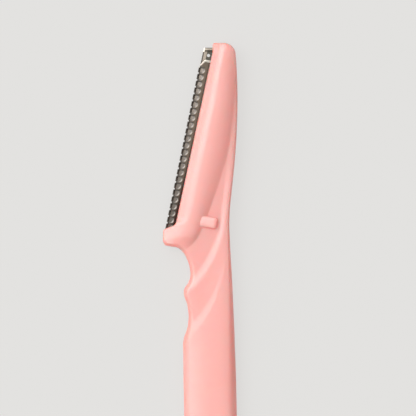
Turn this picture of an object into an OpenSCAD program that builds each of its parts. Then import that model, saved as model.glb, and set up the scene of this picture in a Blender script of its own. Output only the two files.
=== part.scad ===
// Eyebrow razor with a fixed, guarded blade.
// The razor lies flat on its back: +Z is the front face, +Y runs to the tip of the head and
// +X to the spine. The origin is on the handle's axis, halfway along, on the flat back.

/* [Razor] */
// Length from the butt to the tip of the head
razor_len = 150; // [130:1:180]
// Width of the plain handle
handle_w = 10.6; // [10:0.1:12]
// Thickness of the handle along its middle
handle_t = 4; // [3.6:0.1:5]
// Radius of the two corners at the butt
butt_r = 3.8; // [2:0.1:4.6]
// Width of the rounding along the front edges
edge_round = 1.5; // [0.8:0.1:2]
// Width of the rounding along the back edges
back_round = 0.8; // [0.4:0.1:1]
// Fall of the front face from its middle to its sides
crown_fall = 0.8; // [0.3:0.05:1.1]

/* [Finger grip] */
// Length of the waisted grip below the head
grip_len = 24; // [20:0.5:28]
// Width of the rounding along the grip's front edge on the blade's side
grip_round = 0.9; // [0.6:0.1:1.2]
// Depth of the finger scoop above the upper ridge
upper_scoop = 0.34; // [0.1:0.02:0.5]
// Depth of the finger scoop between the ridges
lower_scoop = 0.3; // [0.1:0.02:0.5]

/* [Head] */
// Length of the head from the underside of the lobe to the tip
head_len = 40.6; // [36:0.1:44]
// Lean of the blade from the handle's axis
lean = 11.75; // [9:0.05:13]
// Reach of the lobe from the handle's axis
lobe_reach = 9.6; // [9.5:0.05:10]
// Height of the lobe's outer side, along the handle
lobe_h = 3.15; // [2.8:0.05:3.4]
// Height of the head's crest above the handle
head_rise = 1; // [0.4:0.02:1.2]
// Distance of the crest from the lip beside the blade
crest_in = 2.95; // [2.4:0.05:3.4]
// Fall of the head from its crest to the lip
lip_fall = 1.1; // [0.6:0.05:1.2]
// Width of the rounding along the lip
lip_round = 0.45; // [0.25:0.05:0.7]
// Width of the rounding along the head's front edge on the spine
spine_round = 0.5; // [0.4:0.05:0.8]
// Radius of the corner at the tip, beside the blade
tip_r = 1.2; // [0.8:0.1:1.6]
// Radius of the corner at the tip, on the spine
spine_tip_r = 2; // [1.2:0.1:2.6]

/* [Blade] */
// Height of the blade's middle plane above the back
blade_z = 1.9; // [1.7:0.05:2.1]
// Reach of the guard's lower end from the handle's axis
edge_reach = 9.12; // [9:0.02:9.3]
// Height of the guard's lower end above the lobe's underside
edge_up = 3.6; // [3.4:0.05:3.8]
// Width of metal that shows beside the lip, at the tip
show_w = 2.06; // [1.9:0.02:2.3]
// Width of metal that shows beside the lip, at the guard's lower end
show_low = 1.84; // [1.7:0.02:2]
// Thickness of the blade
blade_t = 0.25; // [0.2:0.01:0.3]
// Width of the blade
blade_w = 4.4; // [4.3:0.05:4.6]
// Width of the ground bevel on each side
bevel_w = 0.8; // [0.5:0.05:1]
// Width of the honed facet on each side, beside the edge
hone_w = 0.22; // [0.15:0.01:0.3]
// Depth of the cutting edge behind the guard's fold
edge_in = 0.2; // [0.15:0.01:0.25]
// Length of bare blade above the guard
bare_tip = 2.45; // [2:0.05:4]
// Distance of the blade's top end below the tip of the head
top_wall = 0.94; // [0.8:0.02:1.2]
// Diameter of the round hole in the bare tip
tip_hole_d = 0.68; // [0.5:0.02:0.9]

/* [Blade guard] */
// Thickness of the guard's foil
foil_t = 0.1; // [0.08:0.01:0.12]
// Depth of the folded foil over the blade
guard_w = 2.75; // [2.7:0.05:2.8]
// Distance from one guard tooth to the next
tooth_pitch = 1.39; // [1.3:0.01:1.6]
// Distance of the first window's centre from the guard's lower end
tooth_first = 0.4; // [0.35:0.01:0.5]
// Width of the slit between two teeth
slit_w = 0.34; // [0.25:0.01:0.45]
// Depth of the slit from the fold
slit_in = 0.42; // [0.3:0.01:0.5]
// Diameter of the round window in each tooth
window_d = 0.8; // [0.6:0.02:0.9]
// Distance of a window's centre from the fold
window_in = 0.62; // [0.55:0.01:0.75]

/* [Clamp bar] */
// Far side of the clamp bar, from the guard's fold
bar_reach = 5.3; // [5.2:0.05:5.5]
// Diameter of the moulded pins
pin_d = 1; // [0.8:0.05:1.1]
// Diameter of the pins' flattened heads
pin_head_d = 1.7; // [1.4:0.05:1.8]
// Thickness of the pins' flattened heads
pin_head_h = 0.35; // [0.25:0.05:0.45]
// Distance of the pins from the guard's fold
pin_in = 3.6; // [3.55:0.01:3.65]
// Number of pins
pin_count = 3; // [2:1:4]
// Clearance of the pieces that are laid into one another
fit_gap = 0.02; // [0.01:0.005:0.04]

/* [Cover catch] */
// Length of the catch across the head
catch_len = 3.4; // [3:0.1:4]
// Width of the catch
catch_w = 2.2; // [1.8:0.1:2.5]
// Height of the catch above the handle's middle, at its higher end
catch_h = 0.85; // [0.6:0.05:1.1]
// Fall of the catch's top from its spine end to its other end
catch_ramp = 0.45; // [0.2:0.05:0.6]
// Height of the catch's rounded sides
catch_side = 0.6; // [0.3:0.05:0.8]
// Turn of the catch, its spine end lower
catch_turn = 9; // [0:1:12]
// Corner radius of the catch
catch_r = 0.6; // [0.3:0.05:0.8]

/* [Hidden] */

moulded = "#e9b9ab";
steel = "#b9b4ae";
foil = "#7d7570";
round_sides = 40;
// Overrun of every cut past the face that it opens
over = 1;

half_w = handle_w / 2;
butt_y = -razor_len / 2;
tip_y = razor_len / 2;
head_y = tip_y - head_len;
grip_y = head_y - grip_len;

// Blade stack, from its middle plane outwards
guard_half = blade_t / 2 + fit_gap + foil_t;
guard_floor = blade_z + guard_half + fit_gap;
blade_floor = blade_z + blade_t / 2 + fit_gap;
bar_guard_top = blade_z - guard_half - fit_gap;
bar_blade_top = blade_z - blade_t / 2 - fit_gap;
// The upright band round the moulding, between the back's rounding and the front's
band_low = bar_guard_top - foil_t;
band_top = guard_floor + 2 * foil_t;

edge_y = head_y + edge_up;
blade_top_y = tip_y - top_wall;
edge_len = (blade_top_y - edge_y) / cos(lean);
guard_len = edge_len - bare_tip;
blade_foot = -foil_t;

// The spine's outline: shares of the head's length above its foot, and of half the width
spine_shares = [[-1.14, 1], [-0.84, 0.977], [-0.49, 0.904], [-0.19, 0.806], [0.03, 0.713],
    [0.11, 0.692], [0.18, 0.714], [0.28, 0.79], [0.41, 0.892], [0.55, 0.968], [0.69, 1],
    [0.8, 0.993], [0.95, 0.922], [1.01, 0.86]];
// The grip's outline on the blade's side: shares of the grip's length, and of half the width
grip_shares = [[-1.93, 1], [-1.42, 1.008], [-0.92, 1.04], [-0.77, 1.023], [-0.69, 0.902],
    [-0.6, 0.845], [-0.48, 0.909], [-0.4, 1.024], [-0.36, 1.012], [-0.3, 0.842], [-0.24, 0.773],
    [-0.17, 0.815], [-0.1, 0.925], [-0.04, 1.106], [-0.012, 1.27]];
// The lines that climb across the front, each as its foot on the blade's side, its end on the spine
// and how late it turns up. Feet and ends are shares of the head's length above the head's foot
// for the crease between head and handle, and of the grip's length for the ridges of the scoops
crease_shares = [-0.074, 0.737, 0.49];
upper_ridge_shares = [-0.4, 0.842, 0.72];
lower_ridge_shares = [-0.775, 0.425, 0.71];
// How the crease bends to the blade's side round the lobe's foot
crease_bend = handle_w * 0.094;
bend_low = lobe_h * 0.27;
bend_len = lobe_h * 0.57;
// How the head falls from its crest to the crease, and how the crest sinks towards the tip
crease_power = 2.4;
crease_soft_share = 0.22;
crest_share = 0.55;
full_head_w = handle_w * 0.75;
least_fall_w = handle_w * 0.05;
least_rise_share = 0.55;
sink_share = 0.42;
sink_len = head_len * 0.54;
head_foot = handle_w * 0.113;
head_foot_len = lobe_h * 1.08;
// Where each scoop climbs again and how fast, and how it ends before the rim along the spine
scoop_rise_share = 0.77;
scoop_run_share = 0.3;
scoop_rim = half_w * 0.13;
scoop_fade = half_w * 0.226;
// How the lower scoop fades towards the spine
lower_fade = handle_w * 0.57;
lower_fade_x = half_w * 0.74;
// How the crown falls to the blade's side and to the spine, and where its blade side ends
crown_power = 2.4;
spine_power = 3.8;
crown_end = grip_len * 0.93;
crown_end_len = grip_len * 0.67;
grip_round_len = grip_len / 3;
spine_round_len = head_len * 0.3;

// The lobe's corners, and how far its top climbs to the lip
lobe_low_r = lobe_h / 3;
lobe_top_r = lobe_h / 4;
lobe_lip_r = lobe_h * 0.4;
lobe_low = head_y + lobe_h * 0.05;
lobe_high = lobe_low + lobe_h;
lip_y = lobe_high + lobe_h * 0.3;
// Length of the upright end of the lip, at the tip
lip_end = 1.5 * tip_r;

catch_x = -half_w * 0.12;
catch_y = lip_y + lobe_h * 0.17;
catch_power = 3;
catch_steps = [0, 0.02, 0.08, 0.2, 0.4, 0.7];
corner_steps = 5;
// The guard's upper end: an arch that drops to the fold, and falls a little to the lip
arch_drop = guard_w * 0.42;
arch_in = guard_w * 0.49;
lip_drop = 0.12;
arch_steps = 14;
fold_steps = 10;
teeth = floor((guard_len - tooth_first - arch_drop) / tooth_pitch) + 1;
// The blade's ground end: half its thickness there, and the length of the slope
blade_end_half = blade_t * 0.16;
blade_end_len = blade_t * 1.5;
hone_half = blade_t * 0.185;
tip_hole_in = show_w * 0.69;
tip_hole_s = edge_len - bare_tip * 0.49;

// Columns of a row's rounded edges and of its face, on the front and on the back
edge_cols = 5;
face_cols = 19;
back_edge_cols = 3;
back_face_cols = 2;
// A row's edge columns reach past the rounding, and take no more than a share of the row
edge_spread = 1.2;
edge_room_share = 0.46;
// Rows of the skin, from the butt to the tip
end_rows = 6;
handle_rows = 14;
grip_rows = 52;
neck_rows = 3;
corner_rows = 6;
run_rows = 2;
lip_rows = 36;
// Rows on either side within which the nearest point of the outline is looked for
near_rows = 22;

function smooth(t) = let (u = min(max(t, 0), 1)) u * u * (3 - 2 * u);
function quarter(t) = sqrt(max(1 - pow(1 - min(max(t, 0), 1), 2), 0));

// A smooth curve through points [along, across]; beyond its ends it runs on level
function chord(p, i) = (p[i + 1][1] - p[i][1]) / (p[i + 1][0] - p[i][0]);
function inner_slope(p, i) = let (a = p[i][0] - p[i - 1][0], b = p[i + 1][0] - p[i][0])
    (chord(p, i - 1) * b + chord(p, i) * a) / (a + b);
function slope(p, i) = i == 0 ? chord(p, 0) : i == len(p) - 1 ? chord(p, i - 1) : inner_slope(p, i);
function curve(p, along) =
    let (x = min(max(along, p[0][0]), p[len(p) - 1][0]))
    let (i = max([for (k = [0 : len(p) - 2]) if (p[k][0] <= x) k]))
    let (h = p[i + 1][0] - p[i][0], t = (x - p[i][0]) / h, r = 1 - t)
    p[i][1] * (1 + 2 * t) * r * r + slope(p, i) * h * t * r * r
        + p[i + 1][1] * t * t * (3 - 2 * t) - slope(p, i + 1) * h * t * t * r;

// A round corner of radius r at b, between the sides to a and to c, in n steps
function corner(a, b, c, r, n) =
    let (u = (a - b) / norm(a - b), v = (c - b) / norm(c - b), half = acos(u * v) / 2)
    let (m = b + (u + v) / norm(u + v) * r / sin(half))
    let (s = b + u * r / tan(half) - m, e = b + v * r / tan(half) - m)
    let (from = atan2(s[1], s[0]), turn = atan2(s[0] * e[1] - s[1] * e[0], s * e))
    [for (k = [0 : n]) m + r * [cos(from + turn * k / n), sin(from + turn * k / n)]];

// The lip beside the blade: the fold's line, moved over by the width that shows
function show(y) = show_low + (show_w - show_low) * (y - edge_y) / (tip_y - edge_y);
function lip_line(y) = -edge_reach + show(y) / cos(lean) + (y - edge_y) * tan(lean);
function lip_x(y) = min(lip_line(y), lip_line(tip_y - lip_end));
function butt_inset(y) = butt_r * (1 - quarter((y - butt_y) / butt_r));
function tip_inset(y, r) = r * (1 - quarter((tip_y - y) / r));
function spine_x(y) =
    half_w * curve(spine_shares, (y - head_y) / head_len) - butt_inset(y) - tip_inset(y, spine_tip_r);
function grip_x(y) = -half_w * curve(grip_shares, (y - head_y) / grip_len) + butt_inset(y);

// The blade's side of the outline, from the butt to the tip. Each of its points starts a level row
// of the skin, which ends on the spine
function spread(from, to, n) = [for (k = [1 : n]) from + (to - from) * k / n];
neck_y = head_y - grip_len / 80;
butt_ys = [for (k = [0 : end_rows]) butt_y + butt_r * (1 - cos(90 * k / end_rows))];
plain_y = head_y - grip_len * 1.05;
grip_ys = concat(spread(butt_y + butt_r, plain_y, handle_rows), spread(plain_y, neck_y, grip_rows));
lip_ys = spread(lip_y + lobe_lip_r, tip_y - spine_tip_r, lip_rows);
tip_ys = [for (k = [1 : end_rows]) tip_y - spine_tip_r * (1 - sin(90 * k / end_rows))];
lobe_points = [[grip_x(neck_y), neck_y], [-lobe_reach, lobe_low], [-lobe_reach, lobe_high],
    [lip_x(lip_y), lip_y], [lip_x(lip_y + head_len / 2), lip_y + head_len / 2]];
function lobe_corner(k, r) = corner(lobe_points[k - 1], lobe_points[k], lobe_points[k + 1], r, corner_rows);
low_corner = lobe_corner(1, lobe_low_r);
top_corner = lobe_corner(2, lobe_top_r);
lip_corner = lobe_corner(3, lobe_lip_r);
left_side = concat([for (y = concat(butt_ys, grip_ys)) [grip_x(y), y]],
    spread(lobe_points[0], low_corner[0], neck_rows), [for (k = [1 : corner_rows]) low_corner[k]],
    spread(low_corner[corner_rows], top_corner[0], run_rows), [for (k = [1 : corner_rows]) top_corner[k]],
    spread(top_corner[corner_rows], lip_corner[0], run_rows), [for (k = [1 : corner_rows]) lip_corner[k]],
    [for (y = concat(lip_ys, tip_ys)) [lip_x(y) + tip_inset(y, tip_r) / 4, y]]);
right_side = [for (p = left_side) [spine_x(p[1]), p[1]]];
rows = len(left_side);

// Distance of a point from the outline, by the rows near it
function side_dist(q, a, b) =
    let (d = b - a, t = min(max((q - a) * d / (d * d), 0), 1))
    norm(q - a - t * d);
function outline_dist(side, i, q) =
    let (from = max(0, i - near_rows), to = min(rows - 2, i + near_rows))
    min([for (k = [from : to]) side_dist(q, side[k], side[k + 1])]);

// A line that climbs from its foot on the blade's side to its end on the spine
function climb(x, shares, len) =
    let (q = (x + half_w) / handle_w)
    head_y + len * (shares[0] + (shares[1] - shares[0]) * (1 - shares[2]) * q / (1 - shares[2] * q));

// The crease between the head and the handle: its place across the razor at height y
function crease_x(y) =
    let (f = ((y - head_y) / head_len - crease_shares[0]) / (crease_shares[1] - crease_shares[0]))
    let (bend = crease_bend * (1 - smooth((y - head_y + bend_low) / bend_len)))
    handle_w * f / (1 - crease_shares[2] + crease_shares[2] * f) - half_w - bend;

// The head swells from the lip to its crest, and falls from there to the crease
function soft(h) =
    h > crease_soft_share ? h : pow(max(h + crease_soft_share, 0), 2) / (4 * crease_soft_share);
function swell(x, y) =
    let (from_lip = (x - lip_line(y)) * cos(lean), wide = (crease_x(y) - lip_line(y)) * cos(lean))
    let (crest = min(crest_in, wide * crest_share))
    let (sink = sink_share * pow(min(max((y - tip_y) / sink_len + 1, 0), 1), 2))
    let (rise = head_rise * min(max(wide / full_head_w, least_rise_share), 1) * (1 - sink))
    let (out = crest + (lobe_reach + lip_line(lip_y)) * smooth((lip_y + lobe_lip_r - y) / (lobe_h / 2)))
    let (down = (from_lip - crest) / max(wide - crest, least_fall_w))
    from_lip > crest ? rise * soft(1 - pow(down, crease_power))
        : rise - lip_fall * pow(min((crest - from_lip) / out, 1), 2);
function head_swell(x, y) =
    y < head_y - lobe_h ? 0 : swell(x, y) * smooth((y - head_y + head_foot) / head_foot_len);

// Depth of the finger scoops: each falls evenly from one line, and climbs fast to the next
function scoop_end(w) = 1 - smooth((w - scoop_rise_share) / scoop_run_share);
function scoops(x, y) =
    let (crease = climb(x, crease_shares, head_len))
    let (high = climb(x, upper_ridge_shares, grip_len), low = climb(x, lower_ridge_shares, grip_len))
    let (u = (crease - y) / (crease - high), v = (high - y) / (high - low))
    let (fade = smooth((lower_fade_x - x) / lower_fade))
    upper_scoop * max(u, 0) * scoop_end(u) + lower_scoop * fade * max(v, 0) * scoop_end(v);

function face_z(x, y) =
    let (side = min(abs(x) / half_w, 1), left = 1 - smooth((y - head_y + crown_end) / crown_end_len))
    handle_t - crown_fall * (x > 0 ? pow(side, spine_power) : pow(side, crown_power) * left)
        + head_swell(x, y) - scoops(x, y) * smooth((spine_x(y) - scoop_rim - x) / scoop_fade);

// The rounding along the blade's side narrows from the handle's to the grip's and then to the
// lip's, and along the spine from the handle's to the head's
function grip_edge(y) =
    edge_round + (grip_round - edge_round) * smooth((y - head_y + crown_end) / grip_round_len);
function left_round(y) = grip_edge(y) + (lip_round - grip_edge(y)) * smooth((y - head_y) / edge_up);
function right_round(y) = edge_round + (spine_round - edge_round) * smooth((y - head_y) / spine_round_len);
function end_share(y) = quarter((y - butt_y) / edge_round) * quarter((tip_y - y) / (2 * lip_round));
function front_z(i, q) =
    let (l = quarter(outline_dist(left_side, i, q) / left_round(q[1])))
    let (r = quarter(outline_dist(right_side, i, q) / right_round(q[1])))
    band_top + (face_z(q[0], q[1]) - band_top) * l * r * end_share(q[1]);
function back_z(i, q) =
    let (sides = min(outline_dist(left_side, i, q), outline_dist(right_side, i, q)))
    let (d = min(sides, q[1] - butt_y, tip_y - q[1]))
    band_low * (1 - quarter(d / back_round));

// One level row of the skin, as a ring: over the front from the blade's side to the spine, and back
// along the flat back. Its points crowd together in the rounded edges
function crowd(n) = [for (k = [0 : n - 1]) 1 - cos(90 * k / n)];
function row(i, left_w, right_w, n, inner) =
    let (from = left_side[i][0], to = right_side[i][0], room = (to - from) * edge_room_share)
    let (l = min(left_w, room), r = min(right_w, room), steps = crowd(n))
    concat([for (t = steps) from + l * t],
        [for (k = [0 : inner]) from + l + (to - r - from - l) * k / inner],
        [for (k = [n - 1 : -1 : 0]) to - r * steps[k]]);
function ring(i) =
    let (y = left_side[i][1], left_w = edge_spread * left_round(y))
    let (front = row(i, left_w, right_round(y), edge_cols, face_cols))
    let (back = row(i, back_round, back_round, back_edge_cols, back_face_cols))
    concat([for (x = front) [x, y, front_z(i, [x, y])]],
        [for (k = [len(back) - 1 : -1 : 0]) [back[k], y, back_z(i, [back[k], y])]]);

module skin() {
    front = 2 * edge_cols + face_cols;
    cols = front + 2 + 2 * back_edge_cols + back_face_cols;
    last = (rows - 1) * cols;
    points = [for (i = [0 : rows - 1]) each ring(i)];
    sides = [for (i = [0 : rows - 2], k = [0 : cols - 1])
        let (n = (k + 1) % cols, a = i * cols, b = a + cols)
        each [[a + k, b + k, b + n], [a + k, b + n, a + n]]];
    low_end = concat([for (k = [0 : front - 1]) [cols - 1, k, k + 1]],
        [for (k = [front + 1 : cols - 2]) [front, k, k + 1]]);
    high_end = [for (f = low_end) [last + f[2], last + f[1], last + f[0]]];
    polyhedron(points, concat(sides, low_end, high_end));
}

// Places its children on the guard's fold: X across the blade, Y along it, Z up from its middle
module on_edge() translate([-edge_reach, edge_y, blade_z]) rotate(-lean) children();

// A slab beside the edge, cut square to the handle at its top end
module edge_slab(from, to, foot, top, low, high)
    translate([0, 0, low]) linear_extrude(high - low)
        polygon([[from, foot], [to, foot], [to, top + to * tan(lean)], [from, top + from * tan(lean)]]);

// Places of the clamp's pins along the edge
function pin_s(k) = edge_len * (2 * k + 1) / (2 * pin_count);
module at_pins() for (k = [0 : pin_count - 1]) translate([pin_in, pin_s(k), 0]) children();

module rod(d, low, high) translate([0, 0, low]) cylinder(d = d, h = high - low, $fn = round_sides);

// The catch's outline, drawn in by a share of half its width, and the height of its side there
module catch_outline(t) {
    r = catch_r * (1 - t);
    x = catch_len / 2 - t * catch_w / 2 - r;
    y = catch_w / 2 * (1 - t) - r;
    corners = [[x, y, 0], [-x, y, 90], [-x, -y, 180], [x, -y, 270]];
    polygon([for (c = corners, k = [0 : corner_steps])
        let (a = c[2] + 90 * k / corner_steps)
        [c[0] + r * cos(a), c[1] + r * sin(a)]]);
}
function catch_drop(t) = catch_side * (1 - pow(1 - pow(1 - t, catch_power), 1 / catch_power));
module catch_layer(t, low, high) translate([0, 0, low]) linear_extrude(high - low) catch_outline(t);
module catch()
    translate([catch_x, catch_y, handle_t + catch_h - catch_ramp / 2])
        rotate([0, -atan(catch_ramp / catch_len), -catch_turn]) hull() {
            catch_layer(0, -2 * catch_h, -catch_h);
            for (t = catch_steps) catch_layer(t, -catch_drop(t) - fit_gap, -catch_drop(t));
        }

// A part of the head's pocket, open to the back
module pocket(from, to, high)
    edge_slab(from, to, blade_foot - fit_gap, edge_len + fit_gap, -blade_z - over, high);

module handle() color(moulded) {
    difference() {
        skin();
        on_edge() {
            pocket(-over, guard_w + fit_gap, guard_floor - blade_z);
            pocket(guard_w, bar_reach + fit_gap, blade_floor - blade_z);
        }
    }
    catch();
    on_edge() at_pins() {
        rod(pin_d, pin_head_h - blade_z, handle_t / 2 - fit_gap);
        rod(pin_head_d, fit_gap - blade_z, pin_head_h - blade_z);
    }
}

// One step of the clamp bar: the lower lies under the guard, the higher under the blade
module bar_step(from, high) edge_slab(from, bar_reach, blade_foot, edge_len, -blade_z, high);

module clamp_bar() color(moulded) on_edge() difference() {
    union() {
        bar_step(show_w + fit_gap, bar_guard_top - blade_z);
        bar_step(guard_w + 2 * fit_gap, bar_blade_top - blade_z);
    }
    at_pins() {
        rod(pin_d + 2 * fit_gap, -blade_z - over, over);
        rod(pin_head_d + 2 * fit_gap, -blade_z - over, pin_head_h + fit_gap - blade_z);
    }
}

// Half of the blade's section, from its edge inwards, and half of its ground end
blade_half = [[edge_in, 0], [edge_in + hone_w, hone_half], [edge_in + bevel_w, blade_t / 2],
    [blade_w, blade_t / 2]];
end_half = [[-edge_len - 2 * over, blade_t / 2], [-blade_end_len, blade_t / 2], [0, blade_end_half]];
function both_halves(p) =
    concat([for (q = p) [q[0], -q[1]]], [for (k = [len(p) - 1 : -1 : 0]) if (p[k][1] > 0) p[k]]);

module blade() color(steel) on_edge() difference() {
    intersection() {
        translate([0, edge_len + over, 0]) rotate([90, 0, 0])
            linear_extrude(edge_len + over - blade_foot) polygon(both_halves(blade_half));
        translate([0, edge_len, 0]) rotate(lean) rotate([90, 0, 90])
            translate([0, 0, -edge_len]) linear_extrude(2 * edge_len) polygon(both_halves(end_half));
    }
    at_pins() rod(pin_d + 2 * fit_gap, -blade_t, blade_t);
    translate([tip_hole_in, tip_hole_s, 0]) rod(tip_hole_d, -blade_t, blade_t);
}

// Half circle of the guard's fold, of radius r about the fold's own centre
function fold(r) = [for (k = [0 : fold_steps])
    let (a = 270 - 180 * k / fold_steps)
    [guard_half + r * cos(a), r * sin(a)]];
fold_inner = fold(guard_half - foil_t);
foil_section = concat([[guard_w, -guard_half]], fold(guard_half), [[guard_w, guard_half]],
    [[guard_w, guard_half - foil_t]], [for (k = [fold_steps : -1 : 0]) fold_inner[k]],
    [[guard_w, foil_t - guard_half]]);

// Where the guard ends, at x from its fold
function guard_end(x) =
    guard_len - arch_drop * (1 - quarter(x / arch_in)) - lip_drop * pow(max(x - arch_in, 0), 2);
arch = [for (k = [0 : arch_steps]) let (x = guard_w * (1 - cos(90 * k / arch_steps))) [x, guard_end(x)]];
beyond_arch = concat([[-over, guard_len + over], [-over, guard_end(0)]], arch,
    [[guard_w + over, guard_end(guard_w)], [guard_w + over, guard_len + over]]);
// Outline of a slit, pointed at its inner end
slit = [[-over, -slit_w / 2], [slit_in - slit_w / 3, -slit_w / 2], [slit_in, 0],
    [slit_in - slit_w / 3, slit_w / 2], [-over, slit_w / 2]];

module blade_guard() color(foil) on_edge() difference() {
    translate([0, guard_len, 0]) rotate([90, 0, 0]) linear_extrude(guard_len - blade_foot)
        polygon(foil_section);
    for (k = [0 : teeth - 1]) translate([0, tooth_first + k * tooth_pitch, -over]) {
        translate([window_in, 0, 0]) cylinder(d = window_d, h = 2 * over, $fn = round_sides);
        translate([0, tooth_pitch / 2, 0]) linear_extrude(2 * over) polygon(slit);
    }
    translate([0, 0, -over]) linear_extrude(2 * over) polygon(beyond_arch);
}

handle();
clamp_bar();
blade();
blade_guard();
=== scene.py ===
# %% [markdown]
# # An eyebrow razor with a fixed, guarded blade
# The real thing is one peach-pink plastic moulding with a slim steel blade held along the left
# side of its head, and a punched metal foil folded over the blade's edge as a guard.
# The CAD frame gives the sizes. This lesson dresses it: first the moulding, then the blade and
# its guard, then the finishes, the light and the camera.

# %% The frame
import math

import bpy
import numpy as np
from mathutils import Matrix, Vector


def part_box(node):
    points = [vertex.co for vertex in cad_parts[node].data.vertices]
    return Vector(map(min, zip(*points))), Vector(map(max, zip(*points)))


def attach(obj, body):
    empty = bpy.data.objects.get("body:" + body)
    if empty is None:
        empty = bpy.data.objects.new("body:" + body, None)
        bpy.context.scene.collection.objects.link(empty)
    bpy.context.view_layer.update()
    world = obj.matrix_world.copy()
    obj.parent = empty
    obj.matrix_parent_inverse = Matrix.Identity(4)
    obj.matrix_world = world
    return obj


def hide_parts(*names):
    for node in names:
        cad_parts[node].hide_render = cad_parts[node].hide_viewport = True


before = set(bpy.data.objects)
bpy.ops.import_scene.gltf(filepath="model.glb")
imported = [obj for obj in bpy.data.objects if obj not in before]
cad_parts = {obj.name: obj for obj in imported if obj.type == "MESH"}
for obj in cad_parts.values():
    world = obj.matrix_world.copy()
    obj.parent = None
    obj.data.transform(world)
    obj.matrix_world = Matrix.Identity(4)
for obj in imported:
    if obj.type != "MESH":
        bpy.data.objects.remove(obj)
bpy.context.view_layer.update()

# %% [markdown]
# ## Working in millimetres
# A razor is designed in millimetres and Blender counts in metres, so every shape below is worked
# out in millimetres and turned to metres once, when its mesh is made. Scaling the object instead
# would leave the object's patterns at the wrong size.

# %% From arrays to a mesh
MM = 0.001


def smooth_faces(mesh, crease=40):
    """Shades a mesh smooth, apart from edges whose faces meet at more than the crease's degrees."""
    mesh.polygons.foreach_set("use_smooth", np.ones(len(mesh.polygons), dtype=bool))
    mesh.set_sharp_from_angle(angle=math.radians(crease))


def new_piece(name, points, faces, crease=40):
    """Makes an object at the origin from points in millimetres and the corners of each face."""
    mesh = bpy.data.meshes.new(name)
    mesh.from_pydata((points * MM).tolist(), [], faces)
    mesh.validate()
    smooth_faces(mesh, crease)
    piece = bpy.data.objects.new(name, mesh)
    bpy.context.collection.objects.link(piece)
    return piece


def tube_faces(rows, cols):
    """Quads of a grid whose rows are closed rings, from column k to k + 1 and row i to i + 1."""
    i, k = np.meshgrid(np.arange(rows - 1), np.arange(cols), indexing="ij")
    n = (k + 1) % cols
    quads = np.stack([i * cols + k, i * cols + n, (i + 1) * cols + n, (i + 1) * cols + k], axis=-1)
    return quads.reshape(-1, 4).tolist()


def closed_tube(name, rings, crease=40):
    """A solid through rings of points, an array of rows x columns x 3, with a flat cap at each end.
    Rings run anticlockwise when seen from the last ring, so that the faces point outwards."""
    rows, cols = rings.shape[:2]
    caps = [list(range(cols))[::-1], list(range((rows - 1) * cols, rows * cols))]
    return new_piece(name, rings.reshape(-1, 3), tube_faces(rows, cols) + caps, crease)


def volume(piece):
    """Signed volume in cubic millimetres: a . (b x c) / 6 of each triangle's corners, summed. It is
    positive where the faces point outwards."""
    mesh = piece.data
    mesh.calc_loop_triangles()
    points = np.empty(len(mesh.vertices) * 3)
    mesh.vertices.foreach_get("co", points)
    corners = np.empty(len(mesh.loop_triangles) * 3, dtype=int)
    mesh.loop_triangles.foreach_get("vertices", corners)
    a, b, c = points.reshape(-1, 3)[corners.reshape(-1, 3)].transpose(1, 0, 2) / MM
    return float(np.einsum("ij,ij->", a, np.cross(b, c)) / 6)


print("sides of a tube of 3 rings of 4 points:", len(tube_faces(3, 4)))

# %% [markdown]
# ## Sizes
# The frame's boxes give the razor's length, width and thickness and the head's place. The other
# sizes are read off the real thing: the waist that the fingers hold, the lean of the blade, and
# the lobe that closes the lower end of the guard.

# %% Driving sizes
handle_low, handle_high = (np.array(corner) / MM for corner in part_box("handle"))
tip_y = handle_high[1]
butt_y = handle_low[1]
lobe_reach = -handle_low[0]
handle_w = 10.6
half_w = handle_w / 2
handle_t = 4.0
head_len = 40.6
grip_len = 24.0
head_y = tip_y - head_len
lean = math.radians(11.75)
edge_reach = 9.12  # from the handle's axis out to the guard's fold, at the guard's lower end
edge_y = head_y + 3.6
show_w = 2.06  # width of metal that shows at the tip, and at the guard's lower end
show_low = 1.84
print("tip at", round(tip_y, 2), "butt at", round(butt_y, 2), "head's foot at", round(head_y, 2))

# %% [markdown]
# ## The outline of the moulding
# Seen from the front the razor is a long strip. Its spine, on the right, dips gently where the
# head begins. The blade's side has two shallow hollows for the fingers, then the lobe, then the
# straight lip beside the blade. A smooth curve through a few points gives each side, and arcs
# give the lobe's corners, as a mould maker would draw them.

# %% Curves
def smooth_step(t):
    """Rises from 0 to 1 with level ends: 3 t squared minus 2 t cubed."""
    u = np.clip(t, 0, 1)
    return u * u * (3 - 2 * u)


def quarter_round(t):
    """Height of a quarter circle of radius 1 at distance t from its foot: the root of 1 minus
    (1 - t) squared."""
    return np.sqrt(1 - (1 - np.clip(t, 0, 1)) ** 2)


def smooth_curve(knots, along):
    """Cubic curve through knots (along, across). Each knot's slope is the mean of its two chords,
    each weighted by the length of the other. It runs on level beyond its ends."""
    x, y = np.array(knots, dtype=float).T
    gap = np.diff(x)
    chord = np.diff(y) / gap
    inner = (chord[:-1] * gap[1:] + chord[1:] * gap[:-1]) / (gap[:-1] + gap[1:])
    slope = np.concatenate([chord[:1], inner, chord[-1:]])
    at = np.clip(along, x[0], x[-1])
    i = np.clip(np.searchsorted(x, at, side="right") - 1, 0, len(gap) - 1)
    u = (at - x[i]) / gap[i]
    v = 1 - u
    ends = y[i] * (1 + 2 * u) * v * v + y[i + 1] * u * u * (1 + 2 * v)
    return ends + gap[i] * u * v * (slope[i] * v - slope[i + 1] * u)


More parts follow.
